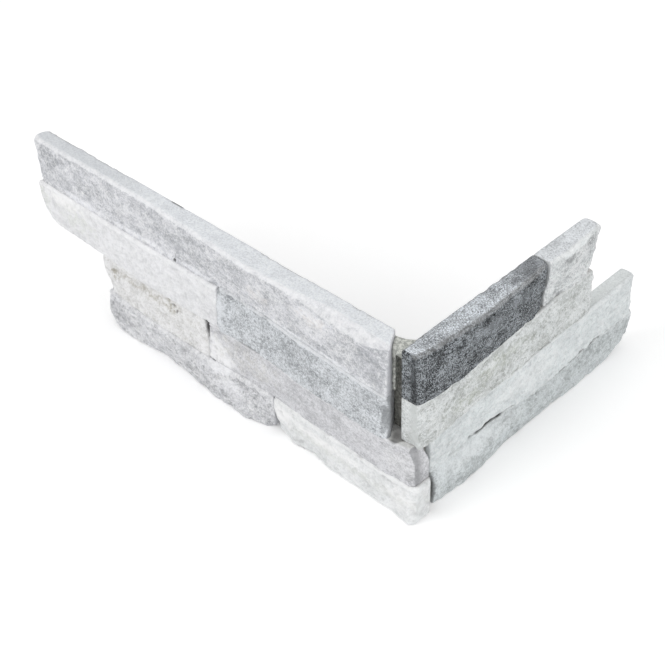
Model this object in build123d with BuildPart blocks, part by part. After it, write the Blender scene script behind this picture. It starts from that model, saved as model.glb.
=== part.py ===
from build123d import *
import os
from collections import namedtuple

# A slate cladding corner: strips of natural split stone in four courses, bonded end to end
# and bed to bed into an L that wraps the outer corner of a wall.
# Each strip is split on its face and sawn on its beds and its back.
# Lengths are millimetres. Distances along a leg are measured from the outer corner edge.
# The origin is where the two back planes meet at the foot of the panel.
# The long leg runs along -X and faces -Y, the short leg runs along +Y and faces +X.

# Height of the panel and of its courses, from the top down
PANEL_HEIGHT = 100.0
TOP_COURSE = 0.275 * PANEL_HEIGHT
UPPER_COURSE = 0.255 * PANEL_HEIGHT
LOWER_COURSE = 0.235 * PANEL_HEIGHT
BASE_COURSE = PANEL_HEIGHT - TOP_COURSE - UPPER_COURSE - LOWER_COURSE

# Nominal thickness of each leg, from its sawn back to the mean plane of its split face
LONG_THICKNESS = 10.5
SHORT_THICKNESS = 9.0

# How far the courses reach from the outer corner: the ends step, so that panels interlock
TOP_STRIP_REACH = 268.0
WHITE_STRIP_REACH = 270.5
CREAM_STONE_REACH = 223.0
LONG_BASE_REACH = 219.5
PALE_STONE_REACH = 133.5
SHORT_UPPER_REACH = 133.0
ICE_STRIP_REACH = 174.0
SHORT_BASE_REACH = 172.5

# Butt joints between two strips of one course
WHITE_TO_SPECKLED = 127.0
CREAM_TO_GREY = 136.5
BASE_TO_WHITE = 92.0
CHARCOAL_TO_PALE = 92.5

# The finger joint at the corner: the upper long strips break off aslant, so their groove widens
# from its mouth to the wall
UPPER_GROOVE = 4.5
UPPER_END_SLANT = 6.5
LOWER_GROOVE = 1.5
BASE_GROOVE = 4.5
UPPER_END_SETBACK = 2.0
GREY_END_PROUD = 1.0
WHITE_END_PROUD = 3.0

# Adhesive in the grooves, and the curved bead along the inner corner
UPPER_GLUE_RECESS = 7.5
TOP_GLUE_RECESS = 3.0
LOWER_GLUE_RECESS = 3.0
GLUE_TOP_RECESS = 2.5
GLUE_FOOT_RECESS = 1.0
GLUE_CAP_DEPTH = 4.0
GLUE_COATING = 2.0
BEAD_REACH = 5.0
BEAD_SAG = 0.75
BEAD_HOLLOW = 1.25
LOWER_BEAD_HOLLOW = 0.3

# Worn arrises of the split faces: along the foot of each strip, and along its head
FOOT_ARRIS = 0.6
FINE_ARRIS = 0.8
WORN_ARRIS = 1.5
BROAD_ARRIS = 4.5

# The chipped notch between the cream stone and the grey strip
NOTCH_ON_GREY = 2.5
NOTCH_ON_CREAM = 1.5
NOTCH_HEIGHT = 17.0
NOTCH_DEPTH = 7.0

# The corner broken off the end of the grey strip, at its head and its back
CHIP_WIDTH = 4.5
CHIP_HEIGHT = 13.0
CHIP_DEPTH = 4.0

# Stone left on by the splitting, for the saw to take off
SAW_ALLOWANCE = 2.0
SAW_CLEARANCE = 20.0

BASE_JOINT = BASE_COURSE
MIDDLE_JOINT = BASE_JOINT + LOWER_COURSE
UPPER_JOINT = MIDDLE_JOINT + UPPER_COURSE
LONG_UPPER_START = SHORT_THICKNESS + UPPER_GROOVE
SHORT_LOWER_START = LONG_THICKNESS + LOWER_GROOVE
SHORT_BASE_START = LONG_THICKNESS + BASE_GROOVE

Leg = namedtuple("Leg", "section along thickness")

# How far the split face stands proud of the nominal face at one share of the strip's length:
# at its head, at its belly and at its foot, with how much is worn off the arris at its head
Facet = namedtuple("Facet", "share head belly foot arris", defaults=(WORN_ARRIS,))

# What has broken away at a distance in from a strip's end:
# off its underside, its top, its face and its back
Break = namedtuple("Break", "inset lift drop face back", defaults=(0.0, 0.0, 0.0, 0.0))

SAWN_END = [Break(-SAW_ALLOWANCE)]


def long_section(distance):
    """The plane across the long leg: its x points out of the face and its y points up."""
    return Plane((SHORT_THICKNESS - distance, 0, 0), x_dir=(0, -1, 0), z_dir=(-1, 0, 0))


def short_section(distance):
    """The plane across the short leg: its x points out of the face and its y points up."""
    return Plane((0, distance - LONG_THICKNESS, 0), x_dir=(1, 0, 0), z_dir=(0, -1, 0))


LONG_LEG = Leg(long_section, (-1, 0, 0), LONG_THICKNESS)
SHORT_LEG = Leg(short_section, (0, 1, 0), SHORT_THICKNESS)


def rough_outline(leg, facet, chip, low, high):
    """Corners of one section of a split strip, before its beds and back are sawn."""
    foot_left = SAW_ALLOWANCE * (chip.lift == 0)
    head_left = SAW_ALLOWANCE * (chip.drop == 0)
    foot = low + chip.lift - foot_left
    head = high - chip.drop + head_left
    rear = chip.back - SAW_ALLOWANCE * (chip.back == 0)
    foot_arris = FOOT_ARRIS + foot_left
    head_arris = facet.arris + head_left
    face = leg.thickness - chip.face
    return [
        (rear, foot),
        (face + facet.foot - foot_arris, foot),
        (face + facet.foot, foot + foot_arris),
        (face + facet.belly, (foot + head) / 2),
        (face + facet.head, head - head_arris),
        (face + facet.head - head_arris, head),
        (rear, head),
    ]


def split_strip(label, leg, start, end, low, high, facets, near, far):
    """A strip split along its face, broken or sawn at each end, then sawn to its course."""
    sections = [(start + chip.inset, facets[0], chip) for chip in near]
    for facet in facets[1:-1]:
        sections.append((start + (end - start) * facet.share, facet, Break(0)))
    sections += [(end - chip.inset, facets[-1], chip) for chip in far]
    with BuildPart() as strip:
        for distance, facet, chip in sections:
            with BuildSketch(leg.section(distance)):
                with BuildLine():
                    Polyline(rough_outline(leg, facet, chip, low, high), close=True)
                make_face()
        loft(ruled=True)
        with BuildSketch(leg.section(start)):
            with BuildLine():
                Polyline(
                    (0, low),
                    (leg.thickness + SAW_CLEARANCE, low),
                    (leg.thickness + SAW_CLEARANCE, high),
                    (0, high),
                    close=True,
                )
            make_face()
        extrude(amount=end - start, dir=leg.along, mode=Mode.INTERSECT)
    strip.part.label = label
    return strip.part


# Top course

long_top_strip = split_strip(
    "long_top_strip", LONG_LEG, LONG_UPPER_START, TOP_STRIP_REACH, UPPER_JOINT, PANEL_HEIGHT,
    facets=[
        Facet(0.00, 1.0, 2.0, 2.5, arris=2.0),
        Facet(0.05, 3.2, 3.0, 2.5, arris=BROAD_ARRIS),
        Facet(0.14, 1.8, 2.0, 1.3, arris=BROAD_ARRIS),
        Facet(0.24, 2.0, 1.0, 0.0),
        Facet(0.35, 3.0, 1.0, -2.0),
        Facet(0.48, 1.2, 0.5, -1.5),
        Facet(0.62, -0.6, -0.3, -1.0),
        Facet(0.76, -1.0, -0.3, -0.8),
        Facet(0.88, -0.5, 0.0, -0.6),
        Facet(1.00, -0.5, -0.5, -1.0),
    ],
    near=[Break(0, face=0.8), Break(1.2)],
    far=[Break(4), Break(0, lift=2.0, drop=0.8, face=1.2, back=5.0)],
)

short_charcoal_strip = split_strip(
    "short_charcoal_strip", SHORT_LEG, UPPER_END_SETBACK, CHARCOAL_TO_PALE, UPPER_JOINT,
    PANEL_HEIGHT,
    facets=[
        Facet(0.00, -0.5, 0.5, 0.5),
        Facet(0.12, 0.9, 2.0, 2.2),
        Facet(0.30, 2.4, 3.0, 2.8),
        Facet(0.50, 3.2, 3.2, 1.8),
        Facet(0.75, 2.2, 2.5, 0.5),
        Facet(0.90, 1.8, 2.2, 0.2),
        Facet(1.00, 1.2, 1.8, 0.0),
    ],
    near=[Break(0, drop=1.0, face=1.5), Break(2.5)],
    far=[
        Break(8),
        Break(3.5, lift=2.0, face=0.4),
        Break(0, lift=8.0, drop=0.5, face=2.2),
    ],
)

short_pale_stone = split_strip(
    "short_pale_stone", SHORT_LEG, CHARCOAL_TO_PALE, PALE_STONE_REACH, UPPER_JOINT, PANEL_HEIGHT,
    facets=[
        Facet(0.00, 1.5, 0.0, -1.5),
        Facet(0.30, 2.4, 0.8, -1.2),
        Facet(0.65, 1.8, 0.8, -0.2),
        Facet(1.00, 1.6, 0.5, 0.0),
    ],
    near=SAWN_END,
    far=[Break(8), Break(4.5, lift=10.0), Break(0, lift=18.0, drop=1.2, face=1.0, back=2.5)],
)

# Upper course

long_white_strip = split_strip(
    "long_white_strip", LONG_LEG, WHITE_TO_SPECKLED, WHITE_STRIP_REACH, MIDDLE_JOINT, UPPER_JOINT,
    facets=[
        Facet(0.00, 0.5, 0.5, 0.0),
        Facet(0.20, 0.8, 0.8, 0.4),
        Facet(0.40, 1.0, 1.4, 1.5),
        Facet(0.60, 1.0, 1.0, 0.0),
        Facet(0.80, 0.9, 0.8, -0.5),
        Facet(1.00, 0.6, 0.0, -0.8),
    ],
    near=[Break(0, face=0.8), Break(1.5)],
    far=[
        Break(14),
        Break(7, lift=2.5),
        Break(2.5, lift=8.0, drop=0.5),
        Break(0, lift=15.0, drop=2.5, face=1.5, back=2.0),
    ],
)

long_speckled_strip = split_strip(
    "long_speckled_strip", LONG_LEG, LONG_UPPER_START, WHITE_TO_SPECKLED, MIDDLE_JOINT, UPPER_JOINT,
    facets=[
        Facet(0.00, 2.4, -2.0, 2.2, arris=FINE_ARRIS),
        Facet(0.03, 3.0, 2.6, 3.4, arris=FINE_ARRIS),
        Facet(0.12, 2.8, 3.0, 4.0, arris=FINE_ARRIS),
        Facet(0.30, 2.0, 2.6, 3.0, arris=FINE_ARRIS),
        Facet(0.50, 1.0, 1.6, 2.5, arris=FINE_ARRIS),
        Facet(0.70, -0.8, 0.4, 0.6, arris=FINE_ARRIS),
        Facet(0.87, -1.8, -0.2, 0.2, arris=FINE_ARRIS),
        Facet(1.00, -2.2, -0.4, 0.6, arris=FINE_ARRIS),
    ],
    near=[Break(0)],
    far=[Break(2), Break(0, face=0.6)],
)

short_cream_strip = split_strip(
    "short_cream_strip", SHORT_LEG, UPPER_END_SETBACK, SHORT_UPPER_REACH, MIDDLE_JOINT, UPPER_JOINT,
    facets=[
        Facet(0.00, 0.5, 0.8, 1.8, arris=FINE_ARRIS),
        Facet(0.09, 1.6, 1.8, 2.2, arris=FINE_ARRIS),
        Facet(0.30, 2.2, 1.6, 1.5, arris=FINE_ARRIS),
        Facet(0.50, 0.6, 1.0, 1.0, arris=FINE_ARRIS),
        Facet(0.70, -0.4, 0.5, 0.0, arris=FINE_ARRIS),
        Facet(0.85, -0.8, 0.0, -0.8, arris=FINE_ARRIS),
        Facet(1.00, -0.2, 0.2, 0.6, arris=FINE_ARRIS),
    ],
    near=[Break(0, face=0.6), Break(2)],
    far=[Break(2.5), Break(0, lift=1.0, drop=1.0, face=1.0, back=1.0)],
)

# Lower course

long_cream_stone = split_strip(
    "long_cream_stone", LONG_LEG, CREAM_TO_GREY, CREAM_STONE_REACH, BASE_JOINT, MIDDLE_JOINT,
    facets=[
        Facet(0.00, -1.0, 0.5, 1.2),
        Facet(0.25, -0.8, 1.0, 1.4),
        Facet(0.50, -1.2, 1.0, 1.2),
        Facet(0.75, -1.4, 0.5, 0.4),
        Facet(1.00, -1.8, -1.0, -1.5),
    ],
    near=SAWN_END,
    far=[Break(7), Break(1.5, lift=10.0), Break(0, lift=15.0, drop=2.0, face=1.0, back=1.0)],
)

corner_grey_strip = split_strip(
    "corner_grey_strip", LONG_LEG, -GREY_END_PROUD, CREAM_TO_GREY, BASE_JOINT, MIDDLE_JOINT,
    facets=[
        Facet(0.00, 0.6, 0.4, 0.0, arris=FINE_ARRIS),
        Facet(0.12, 2.8, 1.8, 1.0, arris=FINE_ARRIS),
        Facet(0.30, 3.0, 2.2, 0.6, arris=FINE_ARRIS),
        Facet(0.50, 2.6, 1.6, 0.4, arris=FINE_ARRIS),
        Facet(0.70, 0.4, 0.5, -0.8, arris=FINE_ARRIS),
        Facet(0.87, 0.0, 0.2, -0.8, arris=FINE_ARRIS),
        Facet(1.00, 0.4, 0.8, 0.6, arris=FINE_ARRIS),
    ],
    near=[Break(0, lift=0.8, drop=9.0, face=1.2), Break(3)],
    far=SAWN_END,
)

short_ice_strip = split_strip(
    "short_ice_strip", SHORT_LEG, SHORT_LOWER_START, ICE_STRIP_REACH, BASE_JOINT, MIDDLE_JOINT,
    facets=[
        Facet(0.00, -0.4, 0.2, 0.0),
        Facet(0.15, 0.4, 0.4, -1.2),
        Facet(0.30, -0.2, 0.0, -1.5),
        Facet(0.45, -0.2, 0.8, 1.8),
        Facet(0.60, -0.8, 0.6, 1.8),
        Facet(0.80, 0.0, 0.2, 0.5),
        Facet(1.00, -0.2, 0.0, 0.6),
    ],
    near=[Break(0, face=0.8), Break(1.5)],
    far=[Break(5), Break(0, lift=2.0, drop=1.5, face=2.5, back=2.0)],
)

# Base course

long_base_stone = split_strip(
    "long_base_stone", LONG_LEG, BASE_TO_WHITE, LONG_BASE_REACH, 0, BASE_JOINT,
    facets=[
        Facet(0.00, 0.4, 0.6, 0.5),
        Facet(0.14, 0.7, 2.0, 3.6),
        Facet(0.36, 2.6, 3.2, 3.0),
        Facet(0.52, 3.0, 2.4, 0.4),
        Facet(0.66, 2.8, 1.6, -0.8),
        Facet(0.82, 2.2, 2.2, 1.6),
        Facet(1.00, 0.0, 1.2, 1.6),
    ],
    near=[Break(0, lift=2.5, face=1.5), Break(5)],
    far=[
        Break(10),
        Break(4, lift=3.0),
        Break(1, lift=8.0),
        Break(0, lift=12.0, drop=2.0, face=1.0, back=1.0),
    ],
)

corner_white_strip = split_strip(
    "corner_white_strip", LONG_LEG, -WHITE_END_PROUD, BASE_TO_WHITE, 0, BASE_JOINT,
    facets=[
        Facet(0.00, 1.2, 2.2, 2.6),
        Facet(0.15, 2.0, 2.4, 1.2),
        Facet(0.35, 1.8, 2.4, 1.0),
        Facet(0.55, 1.6, 2.0, 1.2),
        Facet(0.72, 1.6, 1.0, -1.4),
        Facet(0.85, 1.0, 1.4, 1.0),
        Facet(1.00, 0.4, 0.4, -1.0),
    ],
    near=[Break(0, lift=2.5, drop=1.5, face=2.0, back=1.5), Break(3.5)],
    far=[Break(10), Break(4, lift=3.0), Break(0, lift=9.0, face=1.0)],
)

short_base_strip = split_strip(
    "short_base_strip", SHORT_LEG, SHORT_BASE_START, SHORT_BASE_REACH, 0, BASE_JOINT,
    facets=[
        Facet(0.00, -1.6, 0.0, 0.0),
        Facet(0.15, -2.0, 1.2, 1.2),
        Facet(0.35, -1.8, 0.8, -0.8),
        Facet(0.55, 0.4, 0.6, -0.8),
        Facet(0.75, -0.4, 0.5, -0.4),
        Facet(1.00, 0.4, 0.2, -0.3),
    ],
    near=[Break(0, face=1.0), Break(2)],
    far=[
        Break(20),
        Break(8, lift=4.0),
        Break(1, lift=9.0),
        Break(0, lift=12.0, drop=2.0, face=1.0, back=1.0),
    ],
)


def slant_end(strip):
    """Breaks the corner end of an upper long strip off aslant."""
    with BuildPart() as slanted:
        add(strip)
        with BuildSketch(Plane.XY.offset(MIDDLE_JOINT)):
            with BuildLine():
                Polyline(
                    (-UPPER_GROOVE, -LONG_THICKNESS),
                    (-UPPER_GROOVE - UPPER_END_SLANT, 0),
                    (-UPPER_GROOVE - UPPER_END_SLANT, SAW_CLEARANCE),
                    (SAW_CLEARANCE, SAW_CLEARANCE),
                    (SAW_CLEARANCE, -LONG_THICKNESS),
                    close=True,
                )
            make_face()
        extrude(amount=PANEL_HEIGHT - MIDDLE_JOINT, mode=Mode.SUBTRACT)
    slanted.part.label = strip.label
    return slanted.part


def chip_notch(strip):
    """Cuts the chipped notch at the head of the joint between two strips into one of them."""
    face = LONG_THICKNESS + SAW_CLEARANCE
    with BuildPart() as chipped:
        add(strip)
        with BuildSketch(Plane((SHORT_THICKNESS, -face, 0), x_dir=(-1, 0, 0), z_dir=(0, 1, 0))):
            with BuildLine():
                Polyline(
                    (CREAM_TO_GREY - NOTCH_ON_GREY, MIDDLE_JOINT),
                    (CREAM_TO_GREY + NOTCH_ON_CREAM, MIDDLE_JOINT),
                    (CREAM_TO_GREY, MIDDLE_JOINT - NOTCH_HEIGHT),
                    close=True,
                )
            make_face()
        extrude(amount=SAW_CLEARANCE + NOTCH_DEPTH, mode=Mode.SUBTRACT)
    chipped.part.label = strip.label
    return chipped.part


def chip_corner(strip):
    """Breaks the head of the grey strip's end away where it meets the short leg."""
    with BuildPart() as chipped:
        add(strip)
        with BuildSketch(Plane((GREY_END_PROUD + SHORT_THICKNESS, 0, 0), x_dir=(0, 1, 0), z_dir=(1, 0, 0))):
            with BuildLine():
                Polyline(
                    (-CHIP_WIDTH, MIDDLE_JOINT + SAW_ALLOWANCE),
                    (-CHIP_WIDTH, MIDDLE_JOINT),
                    (0, MIDDLE_JOINT - CHIP_HEIGHT),
                    (SAW_ALLOWANCE, MIDDLE_JOINT + SAW_ALLOWANCE),
                    close=True,
                )
            make_face()
        extrude(amount=-CHIP_DEPTH, mode=Mode.SUBTRACT)
    chipped.part.label = strip.label
    return chipped.part


long_top_strip = slant_end(long_top_strip)
long_speckled_strip = slant_end(long_speckled_strip)
long_cream_stone = chip_notch(long_cream_stone)
corner_grey_strip = chip_corner(chip_notch(corner_grey_strip))

# Adhesive: a fill in each groove of the finger joint and a hollow bead along the inner corner


def slant(out):
    """Where the slanted end of an upper long strip lies, at a distance out from its back."""
    return -UPPER_GROOVE - UPPER_END_SLANT * (1 - out / LONG_THICKNESS)


UPPER_FILL = LONG_THICKNESS - UPPER_GLUE_RECESS
TOP_FILL = LONG_THICKNESS - TOP_GLUE_RECESS
GLUE_TOP = PANEL_HEIGHT - GLUE_TOP_RECESS

with BuildPart() as corner_adhesive:
    with BuildSketch(Plane.XY.offset(MIDDLE_JOINT)):
        with BuildLine():
            Polyline(
                (slant(BEAD_SAG), -BEAD_SAG),
                (slant(UPPER_FILL), -UPPER_FILL),
                (0, -UPPER_FILL),
                (0, BEAD_REACH),
            )
            SagittaArc((0, BEAD_REACH), (slant(BEAD_SAG), -BEAD_SAG), BEAD_HOLLOW)
        make_face()
    extrude(amount=GLUE_TOP - MIDDLE_JOINT)
    with BuildSketch(Plane.XY.offset(UPPER_JOINT)):
        with BuildLine():
            Polyline(
                (slant(BEAD_SAG), -BEAD_SAG),
                (slant(TOP_FILL), -TOP_FILL),
                (slant(TOP_FILL) + GLUE_COATING, -TOP_FILL),
                (slant(BEAD_SAG) + GLUE_COATING, -BEAD_SAG),
                close=True,
            )
        make_face()
    extrude(amount=GLUE_TOP - UPPER_JOINT)
    with BuildSketch(Plane.XY.offset(GLUE_TOP)):
        with BuildLine():
            Polyline(
                (slant(BEAD_SAG), -BEAD_SAG),
                (slant(TOP_FILL), -TOP_FILL),
                (0, -TOP_FILL),
                (0, -BEAD_SAG),
                close=True,
            )
        make_face()
    extrude(amount=-GLUE_CAP_DEPTH)
    with BuildSketch(Plane.XY.offset(GLUE_FOOT_RECESS)):
        with BuildLine():
            Polyline(
                (-BEAD_REACH, 0),
                (SHORT_THICKNESS - LOWER_GLUE_RECESS, 0),
                (SHORT_THICKNESS - LOWER_GLUE_RECESS, LOWER_GROOVE),
                (0, LOWER_GROOVE),
            )
            SagittaArc((0, LOWER_GROOVE), (-BEAD_REACH, 0), LOWER_BEAD_HOLLOW)
        make_face()
    extrude(amount=MIDDLE_JOINT - GLUE_FOOT_RECESS)
    with BuildSketch(Plane.XY.offset(GLUE_FOOT_RECESS)):
        with BuildLine():
            Polyline(
                (0, 0),
                (SHORT_THICKNESS - LOWER_GLUE_RECESS, 0),
                (SHORT_THICKNESS - LOWER_GLUE_RECESS, BASE_GROOVE),
                (0, BASE_GROOVE),
                close=True,
            )
        make_face()
    extrude(amount=BASE_JOINT - GLUE_FOOT_RECESS)
corner_adhesive.part.label = "corner_adhesive"

os.makedirs("parts", exist_ok=True)
for piece in (
    long_top_strip,
    short_charcoal_strip,
    short_pale_stone,
    long_white_strip,
    long_speckled_strip,
    short_cream_strip,
    long_cream_stone,
    corner_grey_strip,
    short_ice_strip,
    long_base_stone,
    corner_white_strip,
    short_base_strip,
    corner_adhesive.part,
):
    export_step(piece, f"parts/{piece.label}.step")
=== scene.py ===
import math
from collections import namedtuple
from itertools import product

import bpy
import numpy as np
from mathutils import Matrix, Vector


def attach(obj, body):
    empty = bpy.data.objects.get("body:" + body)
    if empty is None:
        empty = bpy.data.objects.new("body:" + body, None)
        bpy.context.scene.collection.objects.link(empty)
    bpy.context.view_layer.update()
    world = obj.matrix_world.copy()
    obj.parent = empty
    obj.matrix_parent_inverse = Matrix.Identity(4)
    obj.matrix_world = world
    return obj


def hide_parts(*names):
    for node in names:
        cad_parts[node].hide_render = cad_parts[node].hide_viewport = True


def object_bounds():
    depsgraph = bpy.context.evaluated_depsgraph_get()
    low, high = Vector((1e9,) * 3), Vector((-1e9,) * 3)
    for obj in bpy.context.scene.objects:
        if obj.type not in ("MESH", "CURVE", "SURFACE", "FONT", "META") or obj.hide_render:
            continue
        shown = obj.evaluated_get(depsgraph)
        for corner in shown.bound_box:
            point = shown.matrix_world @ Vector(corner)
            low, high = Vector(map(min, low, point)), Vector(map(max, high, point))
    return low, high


# A slate cladding corner: twelve strips of split stone and the adhesive that bonds them.
# Each strip is remeshed from its solid, roughened on its split face and given its own stone.
# Sizes in the tables are millimetres: "along" is the distance from the outer corner edge,
# "out" is the distance from the sawn back and "up" is the height above the foot.

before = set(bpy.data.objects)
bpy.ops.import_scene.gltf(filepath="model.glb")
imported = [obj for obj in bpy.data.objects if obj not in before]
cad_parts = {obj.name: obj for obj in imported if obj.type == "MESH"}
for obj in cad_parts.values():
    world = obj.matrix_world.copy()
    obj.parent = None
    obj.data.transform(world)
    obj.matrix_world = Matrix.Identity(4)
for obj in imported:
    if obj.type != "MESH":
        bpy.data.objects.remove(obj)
cad_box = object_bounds()

MM = 0.001
LONG_THICKNESS = 10.5
SHORT_THICKNESS = 9.0
BASE_JOINT = 23.5
MIDDLE_JOINT = 47.0
TOP_JOINT = 72.5
PANEL_HEIGHT = 100.0

# Stones

# How rough a split face is: heights of its swells, lumps, ledges and grain, and of its arris chips
Relief = namedtuple("Relief", "swell lump ledge grain chips", defaults=(0.35, 0.25, 0.0, 0.10, 0.6))

# A patch on a face: what it does, where its middle is, its half sizes and how strong it is.
# The kinds dark, pale and stain are colours, the crack kind is a dark groove, which in a few gaps
# and notches is painted shade, and speck a dark mark at the back.
# The kinds rise and meet move a split face or a broken end out by their strength in millimetres.
Patch = namedtuple("Patch", "kind along up half_along half_up strength")

# A stone's display colours run from 0 to 1. Its mottle, grain, sawn_grain and wear say how
# strong its dark flakes, its specks, the specks on its sawn faces and its pale arrises are. The pale arrises
# are powder where the stone is worn and a painted highlight where they face up. Shares of a colour: end_shade
# of second for broken ends, which on the ends of the speckled strip and the corner grey strip is painted
# shade, glint and bright of tone for light flecks and pale patches, sawn_dark and sawn_light of sawn for
# its specks and flecks. grain_size is the size of a speck.
Stone = namedtuple(
    "Stone",
    "node slot leg tone second dark stain sawn mottle grain sawn_grain wear relief patches seed"
    " end_shade glint bright sawn_dark sawn_light grain_size",
    defaults=(0.95, 1.13, 1.10, 0.80, 1.10, 1.05),
)


def tint(level, red=0.0, blue=0.0):
    """A near-neutral display colour."""
    return (level + red, level, level + blue)


def joint_crack(along, up, half_along, half_up=0.5, strength=1.0):
    """A stretch of bed joint that shows as a dark line."""
    return Patch("crack_and_gap_shade", along, up, half_along, half_up, strength)


def closed_joint(along, up, half_along, strength):
    """A stretch of arris moved out, so that the bed joint beside it shows no dark line."""
    return Patch("rise", along, up, half_along, 2.0, strength)


# The foot of the notch between two strips of the third course, closed from both sides
NOTCH_FOOT = Patch("meet", 136.5, 28, 6, 9, 0.9)

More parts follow.
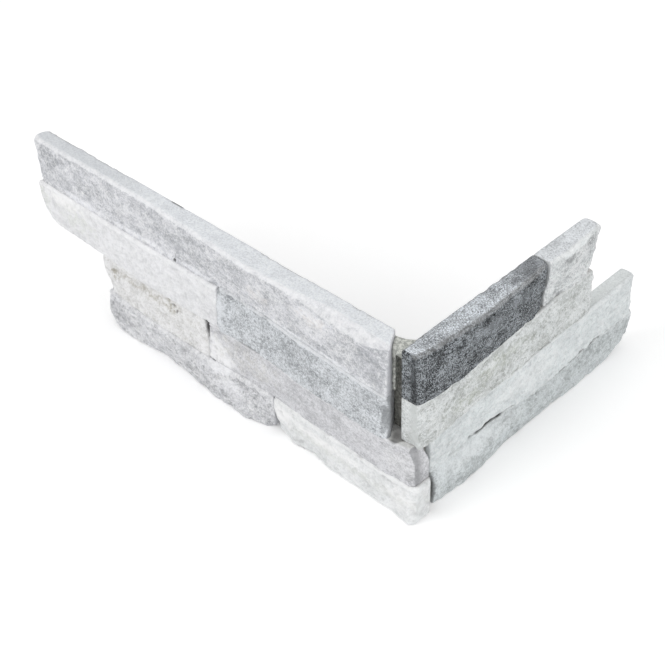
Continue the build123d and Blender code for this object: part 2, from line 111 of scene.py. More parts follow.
STONES = [
    Stone(
        "long_top_strip", "blue_grey_slate", "long",
        tone=tint(0.865, -0.004, 0.018), second=tint(0.79, -0.006, 0.018), dark=tint(0.55, -0.014, 0.020),
        stain=tint(0.84, 0.018, -0.01), sawn=tint(0.885, -0.012, 0.016),
        mottle=0.7, grain=0.5, sawn_grain=0.5, wear=0.9,
        relief=Relief(swell=0.35, lump=0.25, ledge=0.25, grain=0.12, chips=0.4),
        patches=[
            Patch("dark", 255, 90, 9, 7, 0.9),
            Patch("dark", 240, 100, 62, 3, 0.5),
            Patch("dark", 222, 86, 12, 5, 0.6),
            Patch("dark", 148, 88, 22, 8, 0.5),
            Patch("dark", 114, 93, 9, 3.5, 0.8),
            Patch("pale", 100, 84, 10, 5, 0.35),
            Patch("stain", 97, 84, 8, 5, 0.6),
            Patch("dark", 89, 87, 2, 6, 0.9),
            Patch("dark", 75, 91, 3.5, 4, 0.6),
            Patch("pale", 60, 91, 14, 4.5, 0.8),
            Patch("stain", 60, 90, 11, 4, 0.7),
            Patch("dark", 62, 76, 14, 3, 0.6),
            Patch("dark", 28, 86, 20, 11, 0.6),
            Patch("dark", 18, 78, 9, 6, 0.4),
            Patch("pale", 140, 98.9, 128, 1.0, 0.6),
            Patch("speck", 162, 100.3, 5, 1.1, 0.9),
            # Painted light along its foot, lifting the shade in the joint with the white strip below
            Patch("pale", 230, 74.6, 20, 2.2, 0.9),
            Patch("pale", 184, 74.6, 26, 1.9, 0.8),
            Patch("pale", 141, 74.4, 16, 1.7, 0.8),
            Patch("pale", 55, 73.5, 42, 0.9, 0.9),
            closed_joint(186, TOP_JOINT + 1.1, 52, 0.5),
            closed_joint(60, TOP_JOINT + 1.1, 46, 0.4),
            Patch("crack_and_gap_shade", 157.5, 73.8, 0.8, 0.8, 0.8),
            Patch("crack_and_gap_shade", 156.8, 76.5, 0.4, 1.6, 0.4),
        ],
        seed=11,
    ),
    Stone(
        "long_white_strip", "white_quartzite", "long",
        tone=tint(0.93, -0.002, 0.010), second=tint(0.89, -0.003, 0.008), dark=tint(0.76, 0.0, 0.006),
        stain=tint(0.87, -0.014, -0.024), sawn=tint(0.88),
        mottle=0.25, grain=0.3, sawn_grain=0.3, wear=0.8,
        relief=Relief(swell=0.3, lump=0.2, grain=0.09, chips=0.3),
        patches=[
            Patch("dark", 253, 70, 0.9, 0.8, 1.0),
            Patch("pale", 246, 69, 18, 5, 1.0),
            Patch("stain", 238, 60, 18, 7, 0.7),
            Patch("stain", 266, 62, 6, 8, 0.7),
            closed_joint(190, TOP_JOINT - 0.8, 52, 0.5),
        ],
        seed=12,
    ),
    Stone(
        "long_speckled_strip", "speckled_slate", "long",
        tone=tint(0.81, -0.012, 0.014), second=tint(0.76, -0.014, 0.014),
        dark=tint(0.50, -0.012, 0.014), stain=tint(0.70), sawn=tint(0.70, -0.01, 0.012),
        mottle=0.8, grain=0.8, sawn_grain=0.3, wear=0.75,
        relief=Relief(swell=0.3, lump=0.25, grain=0.14, chips=0.4),
        patches=[
            Patch("dark", 119, 69, 1.6, 1.6, 1.0),
            Patch("pale", 55, 71.6, 42, 0.9, 1.0),
            Patch("pale", 125, 60, 4, 11, 0.9),
            Patch("dark", 62, 60, 40, 8, 0.35),
            Patch("dark", 114, 58, 9, 10, 0.3),
            Patch("dark", 95, 53, 9, 4, 0.4),
            joint_crack(107, MIDDLE_JOINT + 0.4, 8, 0.4, 0.4),
            Patch("rise", 127, 62, 9, 16, 1.6),
            closed_joint(60, TOP_JOINT - 0.8, 46, 0.4),
        ],
        seed=13,
        # Its broken end lies in the groove at the corner, and its low end_shade is painted shade there
        end_shade=0.73,
    ),
    Stone(
        "long_cream_stone", "stained_quartzite", "long",
        tone=tint(0.915, 0.0, 0.004), second=tint(0.875, 0.0, 0.0),
        dark=tint(0.66, 0.008, -0.03), stain=tint(0.62, 0.022, -0.055), sawn=tint(0.86),
        mottle=0.5, grain=0.4, sawn_grain=0.3, wear=0.5,
        relief=Relief(swell=0.4, lump=0.4, ledge=0.3, grain=0.14, chips=0.5),
        patches=[
            Patch("stain", 211, 38, 5, 3.4, 1.0),
            Patch("stain", 196, 40, 12, 2.0, 0.7),
            Patch("stain", 178, 40, 11, 3.2, 0.85),
            Patch("stain", 164, 41, 6, 4.5, 1.0),
            Patch("crack_and_gap_shade", 213, 39.5, 1.0, 0.8, 0.4),
            Patch("crack_and_gap_shade", 163, 42.5, 2.2, 0.7, 0.5),
            Patch("crack_and_gap_shade", 160, 40, 0.9, 1.4, 0.6),
            # Painted shade in the notch beside this strip's end
            Patch("crack_and_gap_shade", 138.3, 45, 1.0, 2.2, 0.6),
            Patch("crack_and_gap_shade", 137.6, 41.5, 0.8, 3.0, 0.6),
            NOTCH_FOOT,
            closed_joint(190, BASE_JOINT + 1.0, 42, 0.6),
        ],
        seed=14,
    ),
    Stone(
        "corner_grey_strip", "mauve_slate", "long",
        tone=tint(0.828, -0.001, 0.012), second=tint(0.78, -0.002, 0.013), dark=tint(0.58, -0.004, 0.012),
        stain=tint(0.84, 0.004, -0.012), sawn=tint(0.86, 0.0, -0.006),
        mottle=0.45, grain=0.5, sawn_grain=0.4, wear=0.6,
        relief=Relief(swell=0.3, lump=0.2, grain=0.10, chips=0.4),
        patches=[
            Patch("pale", 129, 30, 10, 11, 1.0),
            Patch("pale", 125, 28, 8, 6, 1.0),
            Patch("stain", 108, 36, 22, 9, 0.8),
            NOTCH_FOOT,
            closed_joint(115, BASE_JOINT + 1.0, 22, 0.5),
            # Painted shade on the lower part of its broken end
            Patch("dark", -1, 27, 5, 7, 1.0),
            Patch("pale", 8, 35, 9, 9, 0.35),
            # Painted shade at the foot of the groove, on this strip's top bed
            Patch("crack_and_gap_shade", 10.8, 47.2, 3, 0.9, 0.6),
            Patch("dark", 70, 44, 30, 2, 0.3),
            joint_crack(107, MIDDLE_JOINT - 0.3, 8, 0.4, 0.3),
        ],
        seed=15,
        # Its low end_shade is painted shade on its broken end
        end_shade=0.75,
        bright=1.17,
    ),
    Stone(
        "long_base_stone", "mauve_speckled_slate", "long",
        tone=tint(0.87, -0.003, 0.014), second=tint(0.79, -0.004, 0.014), dark=tint(0.54, -0.006, 0.012),
        stain=tint(0.80), sawn=tint(0.80, -0.004, 0.004),
        mottle=1.1, grain=0.5, sawn_grain=0.4, wear=0.6,
        relief=Relief(swell=0.6, lump=0.5, ledge=0.4, grain=0.14, chips=0.7),
        patches=[
            Patch("dark", 146, 7, 12, 6, 0.7),
            Patch("dark", 205, 14, 14, 7, 0.5),
            Patch("pale", 120, 13, 8, 6, 0.7),
            Patch("pale", 127, 21.5, 8, 3.5, 1.0),
            Patch("dark", 112, 19, 5, 2.5, 0.7),
            Patch("dark", 101, 11, 4, 7, 0.6),
            Patch("pale", 196, 19, 4, 1.2, 0.7),
            closed_joint(190, BASE_JOINT - 0.8, 42, 0.5),
            closed_joint(115, BASE_JOINT - 0.8, 22, 0.5),
        ],
        seed=16,
    ),
    Stone(
        "corner_white_strip", "greenish_quartzite", "long",
        tone=tint(0.94, -0.006, 0.004), second=tint(0.90, -0.008, 0.002), dark=tint(0.70, -0.006),
        stain=tint(0.84, -0.01, -0.02), sawn=tint(0.87),
        mottle=0.35, grain=0.3, sawn_grain=0.3, wear=0.9,
        relief=Relief(swell=0.5, lump=0.6, ledge=0.55, grain=0.14, chips=0.9),
        patches=[
            Patch("dark", 79, 11, 3, 2, 0.8),
            Patch("dark", 75, 6, 3.5, 2, 0.8),
            Patch("pale", 86, 15, 9, 7, 1.0),
            Patch("pale", 55, 16, 24, 3, 0.9),
            Patch("stain", 40, 12, 50, 3, 0.6),
            Patch("dark", 13, 20.5, 5, 0.7, 0.9),
            Patch("pale", 7, 12, 9, 8, 0.6),
            Patch("dark", -3, 12, 2, 8, 0.6),
        ],
        seed=17,
        end_shade=1.03,
    ),
    Stone(
        "short_charcoal_strip", "charcoal_slate", "short",
        tone=tint(0.36, -0.012, 0.010), second=tint(0.24, -0.010, 0.010), dark=tint(0.08),
        stain=tint(0.55), sawn=tint(0.70, -0.016, 0.018),
        mottle=1.0, grain=0.85, sawn_grain=1.1, wear=0.5,
        relief=Relief(swell=0.3, lump=0.25, grain=0.16, chips=0.4),
        patches=[
            Patch("pale", 48, 90, 16, 4, 0.6),
            Patch("pale", 70, 93, 12, 3, 0.5),
            Patch("dark", 84, 100, 16, 3, 1.0),
            Patch("dark", 74, 79, 22, 7, 0.6),
            Patch("dark", 20, 77, 22, 5, 0.6),
            Patch("dark", 0, 78, 7, 8, 1.0),
        ],
        seed=18,
        glint=2.0,
        bright=1.75,
        sawn_dark=0.50,
        sawn_light=1.32,
        grain_size=0.80,
    ),
    Stone(
        "short_pale_stone", "pale_grey_stone", "short",
        tone=tint(0.88, -0.018, 0.002), second=tint(0.815, -0.014, 0.006), dark=tint(0.58, -0.008, 0.008),
        stain=tint(0.80), sawn=tint(0.84, -0.012, 0.012),
        mottle=0.95, grain=0.6, sawn_grain=1.0, wear=0.7,
        relief=Relief(swell=0.4, lump=0.6, ledge=0.5, grain=0.14, chips=0.7),
        patches=[
            Patch("dark", 107, 94.5, 8, 2.2, 1.0),
            Patch("dark", 123, 95, 8, 2.2, 1.0),
            Patch("dark", 104, 84, 2.5, 7, 0.5),
            Patch("pale", 114, 98, 12, 1.6, 0.8),
        ],
        seed=19,
    ),
    Stone(
        "short_cream_strip", "cream_quartzite", "short",
        tone=tint(0.865, -0.014, 0.002), second=tint(0.78, -0.014, -0.004),
        dark=tint(0.54, -0.01, -0.02), stain=tint(0.74, -0.022, -0.05), sawn=tint(0.82, 0.0, -0.01),
        mottle=0.9, grain=0.5, sawn_grain=0.4, wear=0.6,
        relief=Relief(swell=0.3, lump=0.6, ledge=0.4, grain=0.20, chips=0.5),
        patches=[
            Patch("stain", 58, 62, 22, 6, 0.6),
            Patch("stain", 36, 55, 14, 5, 0.6),
            Patch("dark", 55, 58, 18, 7, 0.45),
            Patch("dark", 8, 55, 1.6, 1.0, 1.0),
            Patch("dark", 63, 62, 1.4, 1.4, 0.9),
            Patch("stain", 80, 47.5, 20, 0.9, 1.0),
            joint_crack(86, MIDDLE_JOINT + 0.3, 20, strength=0.7),
            joint_crack(34, MIDDLE_JOINT + 0.3, 7),
        ],
        seed=20,
        end_shade=1.03,
    ),
    Stone(
        "short_ice_strip", "ice_quartzite", "short",
        tone=tint(0.90, -0.024, 0.004), second=tint(0.855, -0.022, 0.006), dark=tint(0.68, -0.014, 0.004),
        stain=tint(0.82, -0.01, -0.02), sawn=tint(0.86, -0.015, 0.0),
        mottle=0.65, grain=0.35, sawn_grain=0.4, wear=0.6,
        relief=Relief(swell=0.4, lump=0.45, ledge=0.4, grain=0.10, chips=0.6),
        patches=[
            Patch("dark", 118, 41, 2, 1, 0.7),
            Patch("dark", 22, 36, 14, 10, 0.3),
            Patch("pale", 84, 36, 26, 7, 0.35),
            joint_crack(86, MIDDLE_JOINT - 0.3, 20, strength=0.7),
            joint_crack(34, MIDDLE_JOINT - 0.3, 7),
            joint_crack(59, BASE_JOINT + 0.4, 15, 0.9),
            joint_crack(118, BASE_JOINT + 0.3, 32, 0.6, 0.75),
        ],
        seed=21,
    ),
    Stone(
        "short_base_strip", "grey_green_slate", "short",
        tone=tint(0.845, -0.020, 0.006), second=tint(0.785, -0.020, 0.004),
        dark=tint(0.58, -0.018, 0.004), stain=tint(0.78, -0.02, -0.02), sawn=tint(0.78),
        mottle=0.95, grain=0.5, sawn_grain=0.4, wear=0.5,
        relief=Relief(swell=0.5, lump=0.55, ledge=0.5, grain=0.12, chips=0.7),
        patches=[
            Patch("pale", 45, 18, 18, 5, 0.7),
            Patch("dark", 72, 16, 8, 6, 0.5),
            Patch("dark", 140, 17, 24, 6, 0.7),
            Patch("dark", 60, 4, 60, 3, 0.4),
            Patch("dark", 52, 11.5, 3, 0.9, 1.0),
            Patch("dark", 28, 10, 4, 3, 0.5),
            Patch("crack_and_gap_shade", 92, 20, 0.5, 3, 0.6),
            # Painted shade in the gap where this strip starts, beside the corner white strip's end
            Patch("crack_and_gap_shade", 15.3, 10, 1.2, 8, 0.6),
            Patch("pale", 26, 17, 9, 6, 0.6),
            joint_crack(59, BASE_JOINT - 0.4, 15, 0.9),
            joint_crack(118, BASE_JOINT - 0.3, 32, 0.6, 0.75),
        ],
        seed=22,
    ),
]


# Meshes

VOXEL = 0.6
SMOOTHING = 2
ADHESIVE_VOXEL = 0.4
ADHESIVE_SMOOTHING = 6
CRACK_DEPTH = 0.7
TORN_DEPTH = 0.5
TORN_STAIN = 0.8
FOOT_JOINT_FILL = 0.55
HEAD_JOINT_FILL = 0.70
HEAD_ARRIS = 2.5
JOINT_CLEARANCE = 1.0
CHIP_REACH = (0.5, 4.0)
TORN_DOWN = (0.2, 1.6)
TORN_OUT = (0.2, 1.8)
PATCH_EDGE = (0.5, 1.25)
SPLIT_DEPTH = (0.35, 0.8)
SAWN_FACING = (0.80, 0.96)
END_FACING = (0.70, 0.95)
ARRIS_FACING = (0.25, 0.9)
NOISE_TABLE = 256
NOISE_GAIN = 1.5

# Each noise on a stone's mesh: what it adds to the stone's seed, and its size along, out and up
NOISES = {
    "swell": (0, (34, 20, 12)),
    "lump": (100, (8, 6, 5)),
    "small": (200, (3.1, 3.0, 2.6)),
    "grain": (300, (1.5, 1.5, 1.5)),
    "chip": (400, (5, 4, 4)),
    "cleft": (500, (22, 14, 6)),
    "ragged": (600, (4, 4, 4)),
}


def smooth_step(low, high, value):
    """0 below low, 1 above high, and an S curve between."""
    t = np.clip((value - low) / (high - low), 0, 1)
    return t * t * (3 - 2 * t)


class Noise:
    """Seeded gradient noise in space, about -1 to 1, for whole arrays of points."""

    def __init__(self, seed):
        rng = np.random.default_rng(seed)
        self.order = rng.permutation(NOISE_TABLE)
        gradients = rng.normal(size=(NOISE_TABLE, 3))
        self.gradients = gradients / np.linalg.norm(gradients, axis=1, keepdims=True)

    def __call__(self, points):
        cell = np.floor(points).astype(int)
        local = points - cell
        fade = local ** 3 * (local * (local * 6 - 15) + 10)
        total = np.zeros(len(points))
        for corner in product((0, 1), repeat=3):
            place = (cell + corner) % NOISE_TABLE
            index = self.order[place[:, 0]]
            index = self.order[(index + place[:, 1]) % NOISE_TABLE]
            index = self.order[(index + place[:, 2]) % NOISE_TABLE]
            share = np.prod(np.where(corner, fade, 1 - fade), axis=1)
            total += share * np.einsum("ij,ij->i", local - corner, self.gradients[index])
        return total * NOISE_GAIN


def remeshed(source, voxel, smoothing):
    """A copy of a solid as an even mesh of small faces, with its arrises slightly worn."""
    copy = bpy.data.objects.new(source.name + "_rough", source.data.copy())
    bpy.context.collection.objects.link(copy)
    remesh = copy.modifiers.new("even faces", "REMESH")
    remesh.mode = "VOXEL"
    remesh.voxel_size = voxel * MM
    relax = copy.modifiers.new("worn arrises", "SMOOTH")
    relax.factor = 0.5
    relax.iterations = smoothing
    graph = bpy.context.evaluated_depsgraph_get()
    mesh = bpy.data.meshes.new_from_object(copy.evaluated_get(graph))
    bpy.data.objects.remove(copy)
    return mesh


def stone_axes(leg):
    """Directions in the frame of along, out and up for one leg."""
    if leg == "long":
        return np.array([[-1, 0, 0], [0, -1, 0], [0, 0, 1]])
    return np.array([[0, 1, 0], [1, 0, 0], [0, 0, 1]])


def leg_thickness(leg):
    return LONG_THICKNESS if leg == "long" else SHORT_THICKNESS


def corner_offset(leg):
    """Where the outer corner edge lies along a leg's own direction, from the frame's origin."""
    return SHORT_THICKNESS if leg == "long" else LONG_THICKNESS


def vectors(collection, name):
    """One vector for each item of a mesh's collection, as rows."""
    values = np.empty(len(collection) * 3)
    collection.foreach_get(name, values)
    return values.reshape(-1, 3)


class Surface:
    """A stone's vertices seen along, out and up, with their noises and the kinds of face they lie on.

    The kinds of face are shares from 0 to 1, and so is depth: 0 at the back and 1 at the split face.
    """

    def __init__(self, stone, mesh):
        self.points = vectors(mesh.vertices, "co") / MM
        self.normals = vectors(mesh.vertex_normals, "vector")
        axes = stone_axes(stone.leg)
        place = self.points @ axes.T
        place[:, 0] += corner_offset(stone.leg)
        facing = self.normals @ axes.T
        self.along, self.out, self.up = place.T
        self.noise = {name: Noise(stone.seed + extra)(place / size) for name, (extra, size) in NOISES.items()}
        self.foot = self.up.min()
        self.head = self.up.max()

        self.end_facing = np.abs(facing[:, 0])
        outward = 2 * np.clip(facing[:, 1], 0, 1)
        self.under = outward * np.clip(-facing[:, 2], 0, 1)
        self.over = outward * np.clip(facing[:, 2], 0, 1)
        bed = smooth_step(*SAWN_FACING, np.abs(facing[:, 2]))
        self.back = smooth_step(*SAWN_FACING, -facing[:, 1])
        self.sawn = np.maximum(bed, self.back)
        self.end = smooth_step(*END_FACING, self.end_facing)
        self.depth = smooth_step(*SPLIT_DEPTH, self.out / leg_thickness(stone.leg))
        self.split = (1 - self.sawn) * (1 - self.end) * self.depth


def ledges(height, step):
    """Turns smooth heights into flat treads with short risers, as cleaved slate has."""
    level = np.floor(height / step)
    rise = smooth_step(0.55, 0.95, height / step - level)
    return step * (level + rise)


def split_height(relief, noise):
    """Height of a split face's swells, lumps, ledges and grain."""
    height = relief.swell * noise["swell"] + relief.lump * noise["lump"]
    height += 0.5 * relief.lump * noise["small"]
    if relief.ledge:
        cleft = noise["cleft"] + 0.3 * noise["lump"]
        height += ledges(relief.ledge * 1.6 * cleft, relief.ledge) - relief.ledge * cleft
    return height + relief.grain * noise["grain"]


def arris_chips(surface):
    """Where the arrises of the split face at head and foot are chipped, from 0 to 1."""
    to_bed = np.minimum(surface.head - surface.up, surface.up - surface.foot)
    arris = (1 - smooth_step(*CHIP_REACH, to_bed)) * surface.depth * (1 - surface.back)
    return arris * smooth_step(0.15, 0.6, surface.noise["chip"])


def torn_rear(surface):
    """Where the saw has torn the rear arris at the head, from 0 to 1."""
    near_head = 1 - smooth_step(*TORN_DOWN, surface.head - surface.up)
    near_back = 1 - smooth_step(*TORN_OUT, surface.out)
    noise = surface.noise
    roughness = 1.2 * noise["swell"] + 0.6 * noise["chip"] + 0.4 * noise["small"]
    return near_head * near_back * smooth_step(-0.1, 0.7, roughness)


def patch_masks(stone, surface):
    """How strongly each kind of patch marks each vertex."""
    ragged = 0.55 * surface.noise["ragged"] + 0.35 * surface.noise["small"]
    kinds = ("dark", "pale", "stain", "crack_and_gap_shade", "speck", "rise", "meet")
    masks = {kind: np.zeros(len(ragged)) for kind in kinds}
    for patch in stone.patches:
        across = (surface.along - patch.along) / patch.half_along
        above = (surface.up - patch.up) / patch.half_up
        inside = 1 - smooth_step(*PATCH_EDGE, np.hypot(across, above) + ragged)
        np.maximum(masks[patch.kind], patch.strength * inside, out=masks[patch.kind])
    masks["crack_and_gap_shade"] *= surface.depth
    masks["speck"] *= 1 - smooth_step(0.5, 1.5, surface.out)
    return masks


def displacement(stone, surface, patches, torn):
    """How far each vertex moves along its normal, in millimetres."""
    lump = np.abs(surface.noise["lump"])
    small = np.abs(surface.noise["small"])
    grain = np.abs(surface.noise["grain"])
    move = surface.split * split_height(stone.relief, surface.noise)
    move -= surface.end * (0.08 + 0.1 * lump + 0.1 * small)
    move -= surface.sawn * (0.03 + 0.05 * grain + 0.04 * small)
    move -= stone.relief.chips * arris_chips(surface)
    if surface.foot > JOINT_CLEARANCE:
        move += FOOT_JOINT_FILL * smooth_step(*ARRIS_FACING, surface.under) * surface.depth
    if surface.head < PANEL_HEIGHT - JOINT_CLEARANCE:
        at_head = surface.head - surface.up < HEAD_ARRIS
        move += HEAD_JOINT_FILL * smooth_step(*ARRIS_FACING, surface.over) * surface.depth * at_head
    move -= TORN_DEPTH * torn
    move -= CRACK_DEPTH * patches["crack_and_gap_shade"]
    return move + patches["rise"] * surface.split + patches["meet"] * surface.end


def look_masks(stone, surface, patches, torn):
    """What the stone's material reads from each vertex, from 0 to 1."""
    lump = surface.noise["lump"]
    small = surface.noise["small"]
    grain = surface.noise["grain"]
    # Pale arrises: powder where the stone is worn, and a painted highlight, as only arrises and slopes facing
    # up and out get them
    slope = np.clip(1.1 * surface.over, 0, 1)
    worn = smooth_step(0.25, 0.8, slope) * (0.8 + 0.5 * small)
    return {
        "dark": patches["dark"],
        "pale": patches["pale"],
        "stain": patches["stain"],
        "crack_and_gap_shade": np.maximum(patches["crack_and_gap_shade"], patches["speck"]),
        "wear": np.clip(worn * stone.wear, 0, 1),
        "sawn": surface.sawn,
        "back": surface.back,
        "end": smooth_step(0.45, 0.75, surface.end_facing) * surface.depth,
        "torn": TORN_STAIN * torn,
        # Painted shade in the hollows and a painted highlight on the crests of the split face's relief
        "painted_shade_in_hollows": np.clip(-(lump * 0.4 + small * 0.9 + grain * 0.8), 0, 1),
        "painted_highlight_on_crests": np.clip(lump * 0.4 + small * 0.9 + grain * 0.6, 0, 1),
    }


def roughen(stone, mesh):
    """Moves the vertices of a stone's mesh and stores its masks as attributes."""
    surface = Surface(stone, mesh)
    patches = patch_masks(stone, surface)
    torn = torn_rear(surface)
    move = displacement(stone, surface, patches, torn)
    points = surface.points + surface.normals * move[:, None]
    points[:, 2] = np.maximum(points[:, 2], 0)
    mesh.vertices.foreach_set("co", (points * MM).ravel())
    for name, values in look_masks(stone, surface, patches, torn).items():
        layer = mesh.attributes.new(name, "FLOAT", "POINT")
        layer.data.foreach_set("value", values.astype(np.float32))
    mesh.update()


# Materials

LIGHTEST = 0.97
CLOUD_STRETCH = 1.4
SCRATCH_STRETCH = 5
FLAKE_SHARE = 0.65
DARK_SHARE = 0.7
PALE_SHARE = 0.92
STAIN_SHARE = 0.85
# How much painted shade the relief's hollows get and how dark, and how much painted highlight its crests get
HOLLOW_PAINTED_SHADE_SHARE = 0.45
HOLLOW_PAINTED_SHADE_LEVEL = 0.82
CREST_PAINTED_HIGHLIGHT_SHARE = 0.40
SCRATCH_SHARE = 0.5
SPECK_SHARE = 0.7
FLECK_SHARE = 0.85
# How far dark patches darken a broken end; on the corner grey strip's end this is painted shade
END_DARK_SHARE = 0.8
SAWN_DARK_SHARE = 0.6
STROKE_SHARE = 0.5
STROKE_SHADE = 0.90
SMEAR_SHADE = 1.05
# The colour of the pale arrises: powder, and a painted highlight on those facing up
POWDER_AND_HIGHLIGHT_WHITE = 0.61
POWDER_AND_HIGHLIGHT_TONE = 0.37
TORN_COLOUR = tint(0.46, 0.01, -0.02)
# The colour of cracks and dark joints, which in a few gaps and notches is painted shade
CRACK_AND_GAP_SHADE_COLOUR = tint(0.14, 0.01, -0.01)

# The adhesive's two tones, the darker where it is clean and deep in the groove, where it is partly painted
# shade, and the lighter where it is dusty, and where its dust begins and is full
GROOVE_ADHESIVE_AND_SHADE = ((0.44, 0.438, 0.42), (0.63, 0.625, 0.60))
DUSTY_ADHESIVE = ((0.62, 0.63, 0.61), (0.84, 0.845, 0.82))
DUSTY_HEAD = (93.0, 99.0)
DUSTY_FACE_UP = (70.0, 76.0)
DUSTY_FACE_Y = (-3.4, -3.8)


class Graph:
    """Shorthand for building one material's nodes."""

    def __init__(self, name):
        self.material = bpy.data.materials.new(name)
        self.material.use_nodes = True
        self.tree = self.material.node_tree
        self.shader = self.tree.nodes["Principled BSDF"]

    def feed(self, socket, value):
        if isinstance(value, bpy.types.NodeSocket):
            self.tree.links.new(value, socket)
        else:
            socket.default_value = value

    def node(self, kind, **settings):
        made = self.tree.nodes.new(kind)
        for name, value in settings.items():
            setattr(made, name, value)
        return made

    def attribute(self, name):
        return self.node("ShaderNodeAttribute", attribute_name=name).outputs["Fac"]

    def place(self, stretch=(1, 1, 1)):
        """Object coordinates in millimetres, for a pattern stretched along each axis."""
        mapping = self.node("ShaderNodeMapping")
        self.feed(mapping.inputs["Vector"], self.node("ShaderNodeTexCoord").outputs["Object"])
        self.feed(mapping.inputs["Scale"], [1 / (MM * size) for size in stretch])
        return mapping.outputs["Vector"]

    def noise(self, place, size, detail=3.0, roughness=0.55, distortion=0.0):
        made = self.node("ShaderNodeTexNoise")
        self.feed(made.inputs["Vector"], place)
        self.feed(made.inputs["Scale"], 1 / size)
        self.feed(made.inputs["Detail"], detail)
        self.feed(made.inputs["Roughness"], roughness)
        self.feed(made.inputs["Distortion"], distortion)
        return made.outputs["Fac"]

    def step(self, value, low, high, bottom=0.0, top=1.0):
        """Maps a value from low..high to bottom..top along an S curve."""
        made = self.node("ShaderNodeMapRange", interpolation_type="SMOOTHSTEP")
        self.feed(made.inputs["Value"], value)
        self.feed(made.inputs["From Min"], low)
        self.feed(made.inputs["From Max"], high)
        self.feed(made.inputs["To Min"], bottom)
        self.feed(made.inputs["To Max"], top)
        return made.outputs["Result"]

    def math(self, operation, first, second=0.0):
        made = self.node("ShaderNodeMath", operation=operation)
        self.feed(made.inputs[0], first)
        self.feed(made.inputs[1], second)
        return made.outputs["Value"]

    def times(self, first, second):
        return self.math("MULTIPLY", first, second)

    def blend(self, share, first, second):
        made = self.node("ShaderNodeMix", data_type="RGBA")
        self.feed(made.inputs["Factor"], share)
        self.feed(made.inputs[6], first)
        self.feed(made.inputs[7], second)
        return made.outputs[2]

    def coated(self, colour, *coats):
        """A colour under coats of other colours, each given as its share and its colour."""
        for share, coat in coats:
            colour = self.blend(share, colour, coat)
        return colour

    def bump(self, height, distance, strength, under=None):
        made = self.node("ShaderNodeBump")
        self.feed(made.inputs["Height"], height)
        self.feed(made.inputs["Distance"], distance * MM)
        self.feed(made.inputs["Strength"], strength)
        if under is not None:
            self.feed(made.inputs["Normal"], under)
        return made.outputs["Normal"]


def linear(colour):
    """Display colour, 0 to 1, to the scene's linear colour."""
    values = [c / 12.92 if c <= 0.04045 else ((c + 0.055) / 1.055) ** 2.4 for c in colour]
    return (*values, 1.0)


def scaled(colour, factor):
    """A display colour made lighter or darker, short of pure white."""
    return [min(LIGHTEST, channel * factor) for channel in colour]


def stretched(leg, size):
    """A stretch along one leg's own direction."""
    return (size, 1, 1) if leg == "long" else (1, size, 1)


class StoneNoise:
    """The noises that the colours of one stone share."""

    def __init__(self, graph, stone):
        place = graph.place(stretched(stone.leg, CLOUD_STRETCH))
        self.fine = graph.place()
        self.cloud = graph.noise(place, 7.0, detail=7.0, roughness=0.72, distortion=0.5)
        self.flake = graph.noise(place, 3.0, detail=5.0, roughness=0.72, distortion=0.3)
        self.scratch = graph.noise(graph.place(stretched(stone.leg, SCRATCH_STRETCH)), 1.3, detail=2.0)
        self.speck = graph.noise(self.fine, stone.grain_size, detail=3.0, roughness=0.62)
        self.fleck = graph.noise(graph.place((0.9, 0.9, 0.9)), stone.grain_size, detail=3.0, roughness=0.62)
        drift = graph.noise(place, 9.0, detail=3.0, roughness=0.6)
        dense = graph.times(graph.math("SUBTRACT", drift, 0.5), 0.35)
        self.specks = graph.step(graph.math("ADD", self.speck, dense), 0.50, 0.60)
        self.flecks = graph.step(graph.math("SUBTRACT", self.fleck, dense), 0.50, 0.60)


def salted(graph, colour, grain, dark, light, specks, flecks):
    """A colour with dark specks and light flecks in it, as strong as the grain."""
    return graph.coated(
        colour,
        (graph.times(specks, min(1, SPECK_SHARE * grain)), dark),
        (graph.times(flecks, min(1, FLECK_SHARE * grain)), light),
    )


def split_face(graph, stone, noise, dark_patches):
    """Cloudy tones with flakes, patches, painted shade in hollows, painted highlight on crests, scratches and
    specks.
    """
    dark = linear(stone.dark)
    light = linear(scaled(stone.tone, stone.glint))
    stains = graph.times(graph.attribute("stain"), graph.step(noise.flake, 0.42, 0.56, 0.15, 1.0))
    colour = graph.coated(
        linear(stone.tone),
        (graph.step(noise.cloud, 0.44, 0.57), linear(stone.second)),
        (graph.times(graph.step(noise.flake, 0.53, 0.62), FLAKE_SHARE * stone.mottle), dark),
        (dark_patches, dark),
        (graph.times(graph.attribute("pale"), PALE_SHARE), linear(scaled(stone.tone, stone.bright))),
        (graph.times(stains, STAIN_SHARE), linear(stone.stain)),
        # Painted shade in the hollows and a painted highlight on the crests of the relief
        (graph.times(graph.attribute("painted_shade_in_hollows"), HOLLOW_PAINTED_SHADE_SHARE), linear(scaled(stone.second, HOLLOW_PAINTED_SHADE_LEVEL))),
        (graph.times(graph.attribute("painted_highlight_on_crests"), CREST_PAINTED_HIGHLIGHT_SHARE), light),
        (graph.times(graph.step(noise.scratch, 0.58, 0.66), SCRATCH_SHARE * stone.grain), light),
    )
    clean = graph.step(graph.attribute("pale"), 0.2, 1.0, 1.0, 0.3)
    return salted(graph, colour, stone.grain, dark, light, graph.times(noise.specks, clean), noise.flecks)


def broken_end(graph, stone, dark_patches):
    """A smoother, plainer face than the split one, darker by end_shade, which on a few ends is painted shade.
    """
    shaded = linear(scaled(stone.second, stone.end_shade))
    return graph.blend(graph.times(dark_patches, END_DARK_SHARE), shaded, linear(stone.dark))


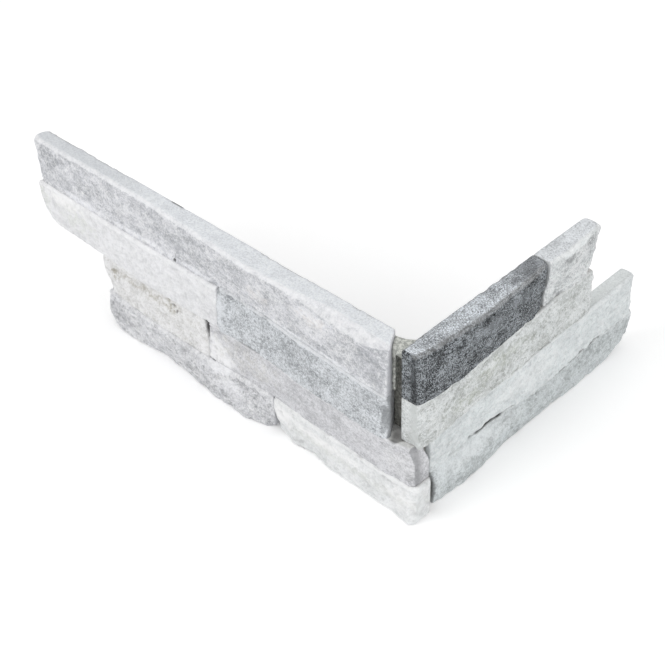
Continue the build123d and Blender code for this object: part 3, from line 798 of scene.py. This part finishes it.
def sawn_face(graph, stone, noise):
    """An even face with specks, and on the back the saw's strokes and smears of its slurry."""
    dark = linear(scaled(stone.sawn, stone.sawn_dark))
    light = linear(scaled(stone.sawn, stone.sawn_light))
    colour = salted(
        graph, linear(stone.sawn), stone.sawn_grain, dark, light, noise.specks, noise.flecks
    )
    strokes = graph.step(graph.noise(graph.place((30, 30, 0.8)), 1.0, detail=3.0), 0.42, 0.62)
    smears = graph.step(noise.cloud, 0.50, 0.62)
    on_back = graph.times(graph.attribute("back"), STROKE_SHARE)
    return graph.coated(
        colour,
        (graph.times(graph.attribute("dark"), SAWN_DARK_SHARE), dark),
        (graph.times(strokes, on_back), linear(scaled(stone.sawn, STROKE_SHADE))),
        (graph.times(smears, on_back), linear(scaled(stone.sawn, SMEAR_SHADE))),
    )


def stone_material(stone):
    """Natural stone, split, broken or sawn, with powder and a painted highlight on its upward arrises, and
    dark cracks.
    """
    graph = Graph(stone.slot)
    noise = StoneNoise(graph, stone)
    spread = graph.step(noise.flake, 0.40, 0.54, 0.25, 1.0)
    dark_patches = graph.times(graph.times(graph.attribute("dark"), spread), DARK_SHARE)
    # Powder and a painted highlight on the arrises that face up
    powder = linear([POWDER_AND_HIGHLIGHT_TONE * channel + POWDER_AND_HIGHLIGHT_WHITE for channel in stone.tone])
    # Broken ends take the darker end colour, which on a few ends is painted shade
    end_share = graph.times(graph.attribute("end"), graph.step(noise.flake, 0.35, 0.6, 0.95, 0.6))
    powder_and_highlight_share = graph.times(graph.attribute("wear"), graph.step(noise.flake, 0.36, 0.58, 1.0, 0.7))
    torn_share = graph.times(graph.attribute("torn"), graph.step(noise.fleck, 0.40, 0.55))
    colour = graph.coated(
        split_face(graph, stone, noise, dark_patches),
        (end_share, broken_end(graph, stone, dark_patches)),
        (graph.attribute("sawn"), sawn_face(graph, stone, noise)),
        (powder_and_highlight_share, powder),
        (torn_share, linear(TORN_COLOUR)),
        # Cracks and dark joints, with painted shade in a few gaps and notches
        (graph.attribute("crack_and_gap_shade"), linear(CRACK_AND_GAP_SHADE_COLOUR)),
    )
    graph.feed(graph.shader.inputs["Base Color"], colour)
    graph.feed(graph.shader.inputs["Roughness"], 0.86)
    graph.feed(graph.shader.inputs["Specular IOR Level"], 0.25)
    pits = graph.bump(noise.speck, 0.45, 0.8)
    body = graph.bump(graph.noise(noise.fine, 3.0, detail=5.0, roughness=0.7), 0.9, 0.6, pits)
    graph.feed(graph.shader.inputs["Normal"], body)
    return graph.material


def adhesive_material():
    """Cured adhesive, dusty with stone powder at the panel's head and on its outer face below it, darker
    elsewhere, which in the deep groove is painted shade.
    """
    graph = Graph("adhesive")
    fine = graph.place()
    crumbs = graph.noise(fine, 1.6, detail=4.0, roughness=0.65)
    # The darker tone: the adhesive's clean colour, and painted shade of the deep groove
    clean = graph.blend(graph.step(crumbs, 0.42, 0.62), *[linear(tone) for tone in GROOVE_ADHESIVE_AND_SHADE])
    dusty = graph.blend(graph.step(crumbs, 0.42, 0.60), *[linear(tone) for tone in DUSTY_ADHESIVE])
    split = graph.node("ShaderNodeSeparateXYZ")
    graph.feed(split.inputs["Vector"], fine)
    up = split.outputs["Z"]
    head = graph.step(graph.math("ADD", up, graph.times(crumbs, 8.0)), *DUSTY_HEAD, 0.1, 1.0)
    face = graph.times(graph.step(up, *DUSTY_FACE_UP), graph.step(split.outputs["Y"], *DUSTY_FACE_Y))
    face = graph.times(face, graph.step(crumbs, 0.35, 0.55, 0.6, 1.0))
    colour = graph.blend(graph.math("MAXIMUM", head, face), clean, dusty)
    graph.feed(graph.shader.inputs["Base Color"], colour)
    graph.feed(graph.shader.inputs["Roughness"], 0.8)
    graph.feed(graph.shader.inputs["Normal"], graph.bump(crumbs, 0.8, 0.8))
    return graph.material


# Pieces

def dress(node, mesh, material):
    """Shows a mesh in place of a CAD node."""
    piece = bpy.data.objects.new(node + "_split", mesh)
    bpy.context.collection.objects.link(piece)
    mesh.materials.clear()
    mesh.materials.append(material)
    mesh.shade_smooth()
    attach(piece, "root")
    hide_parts(node)


for stone in STONES:
    mesh = remeshed(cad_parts[stone.node], VOXEL, SMOOTHING)
    roughen(stone, mesh)
    dress(stone.node, mesh, stone_material(stone))

glue_mesh = remeshed(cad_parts["corner_adhesive"], ADHESIVE_VOXEL, ADHESIVE_SMOOTHING)
dress("corner_adhesive", glue_mesh, adhesive_material())


# Floor, whose glow grows between two distances from the object, in millimetres

WHITE = (1.0, 1.0, 1.0, 1.0)
FLOOR_HALF = 3.0
GLOW_START = 500.0
GLOW_FULL = 1600.0
NEAR_GLOW = 0.12
FAR_GLOW = 0.45


def seen_directly(graph):
    """1 for rays that show a surface to the eye, straight or by a reflection, and 0 for light."""
    path = graph.node("ShaderNodeLightPath").outputs
    mirrored = graph.math("MAXIMUM", path["Is Glossy Ray"], path["Is Transmission Ray"])
    return graph.math("MAXIMUM", path["Is Camera Ray"], mirrored)


def make_floor():
    """A white floor that keeps the shadow and glows a little, more so far from the object."""
    mesh = bpy.data.meshes.new("floor")
    half = FLOOR_HALF
    corners = [(-half, -half, 0), (half, -half, 0), (half, half, 0), (-half, half, 0)]
    mesh.from_pydata(corners, [], [(0, 1, 2, 3)])
    floor = bpy.data.objects.new("floor", mesh)
    bpy.context.collection.objects.link(floor)
    graph = Graph("white floor")
    away = graph.node("ShaderNodeVectorMath", operation="LENGTH")
    graph.feed(away.inputs[0], graph.place())
    glow = graph.step(away.outputs["Value"], GLOW_START, GLOW_FULL, NEAR_GLOW, FAR_GLOW)
    graph.feed(graph.shader.inputs["Base Color"], WHITE)
    graph.feed(graph.shader.inputs["Roughness"], 1.0)
    graph.feed(graph.shader.inputs["Specular IOR Level"], 0.0)
    graph.feed(graph.shader.inputs["Emission Color"], WHITE)
    graph.feed(graph.shader.inputs["Emission Strength"], graph.times(seen_directly(graph), glow))
    mesh.materials.append(graph.material)


make_floor()


# Light

SKY_STRENGTH = 0.62


def soft_light(name, place, target, size, power):
    data = bpy.data.lights.new(name, "AREA")
    data.shape = "DISK"
    data.size = size
    data.energy = power
    lamp = bpy.data.objects.new(name, data)
    bpy.context.collection.objects.link(lamp)
    lamp.location = place
    lamp.rotation_euler = (Vector(target) - Vector(place)).to_track_quat("-Z", "Y").to_euler()


centre = (cad_box[0] + cad_box[1]) / 2
soft_light("key", (-0.5, -1.5, 1.3), centre, 1.2, 10)
soft_light("fill", (1.6, -0.3, 0.9), centre, 1.2, 7)
soft_light("top", (0.0, 0.2, 1.8), centre, 1.6, 6)


class WorldGraph(Graph):
    """The same shorthand for the world's nodes."""

    def __init__(self, name):
        self.world = bpy.data.worlds.new(name)
        self.world.use_nodes = True
        self.tree = self.world.node_tree
        self.shader = self.tree.nodes["Background"]


def make_world():
    """A sky that looks white and gives a softer light."""
    graph = WorldGraph("studio")
    graph.feed(graph.shader.inputs["Color"], WHITE)
    strength = graph.math("MAXIMUM", seen_directly(graph), SKY_STRENGTH)
    graph.feed(graph.shader.inputs["Strength"], strength)
    bpy.context.scene.world = graph.world


make_world()


# Camera, as fitted to the corners of the panel in a photograph 665 pixels wide.
# The eye's place is in millimetres and the turns are in radians.

SENSOR_WIDTH = 36.0
FRAME_PIXELS = 665
FOCAL_PIXELS = 1362.1
EYE = Vector((289.7, -335.5, 475.4)) * MM
YAW = 0.79111
PITCH = 0.69658
ROLL = -0.03743
CLIP_START = 0.02


def make_camera():
    data = bpy.data.cameras.new("camera")
    data.sensor_width = SENSOR_WIDTH
    data.lens = FOCAL_PIXELS / FRAME_PIXELS * SENSOR_WIDTH
    data.clip_start = CLIP_START
    camera = bpy.data.objects.new("camera", data)
    bpy.context.collection.objects.link(camera)
    back = Vector((
        math.sin(YAW) * math.cos(PITCH), -math.cos(YAW) * math.cos(PITCH), math.sin(PITCH)
    ))
    right = (-back).cross(Vector((0, 0, 1))).normalized()
    up = right.cross(-back)
    turned_right = right * math.cos(ROLL) + up * math.sin(ROLL)
    turned_up = up * math.cos(ROLL) - right * math.sin(ROLL)
    turn = Matrix((turned_right, turned_up, back)).transposed()
    camera.matrix_world = Matrix.Translation(EYE) @ turn.to_4x4()
    bpy.context.scene.camera = camera


make_camera()
bpy.context.scene.view_settings.view_transform = "Standard"
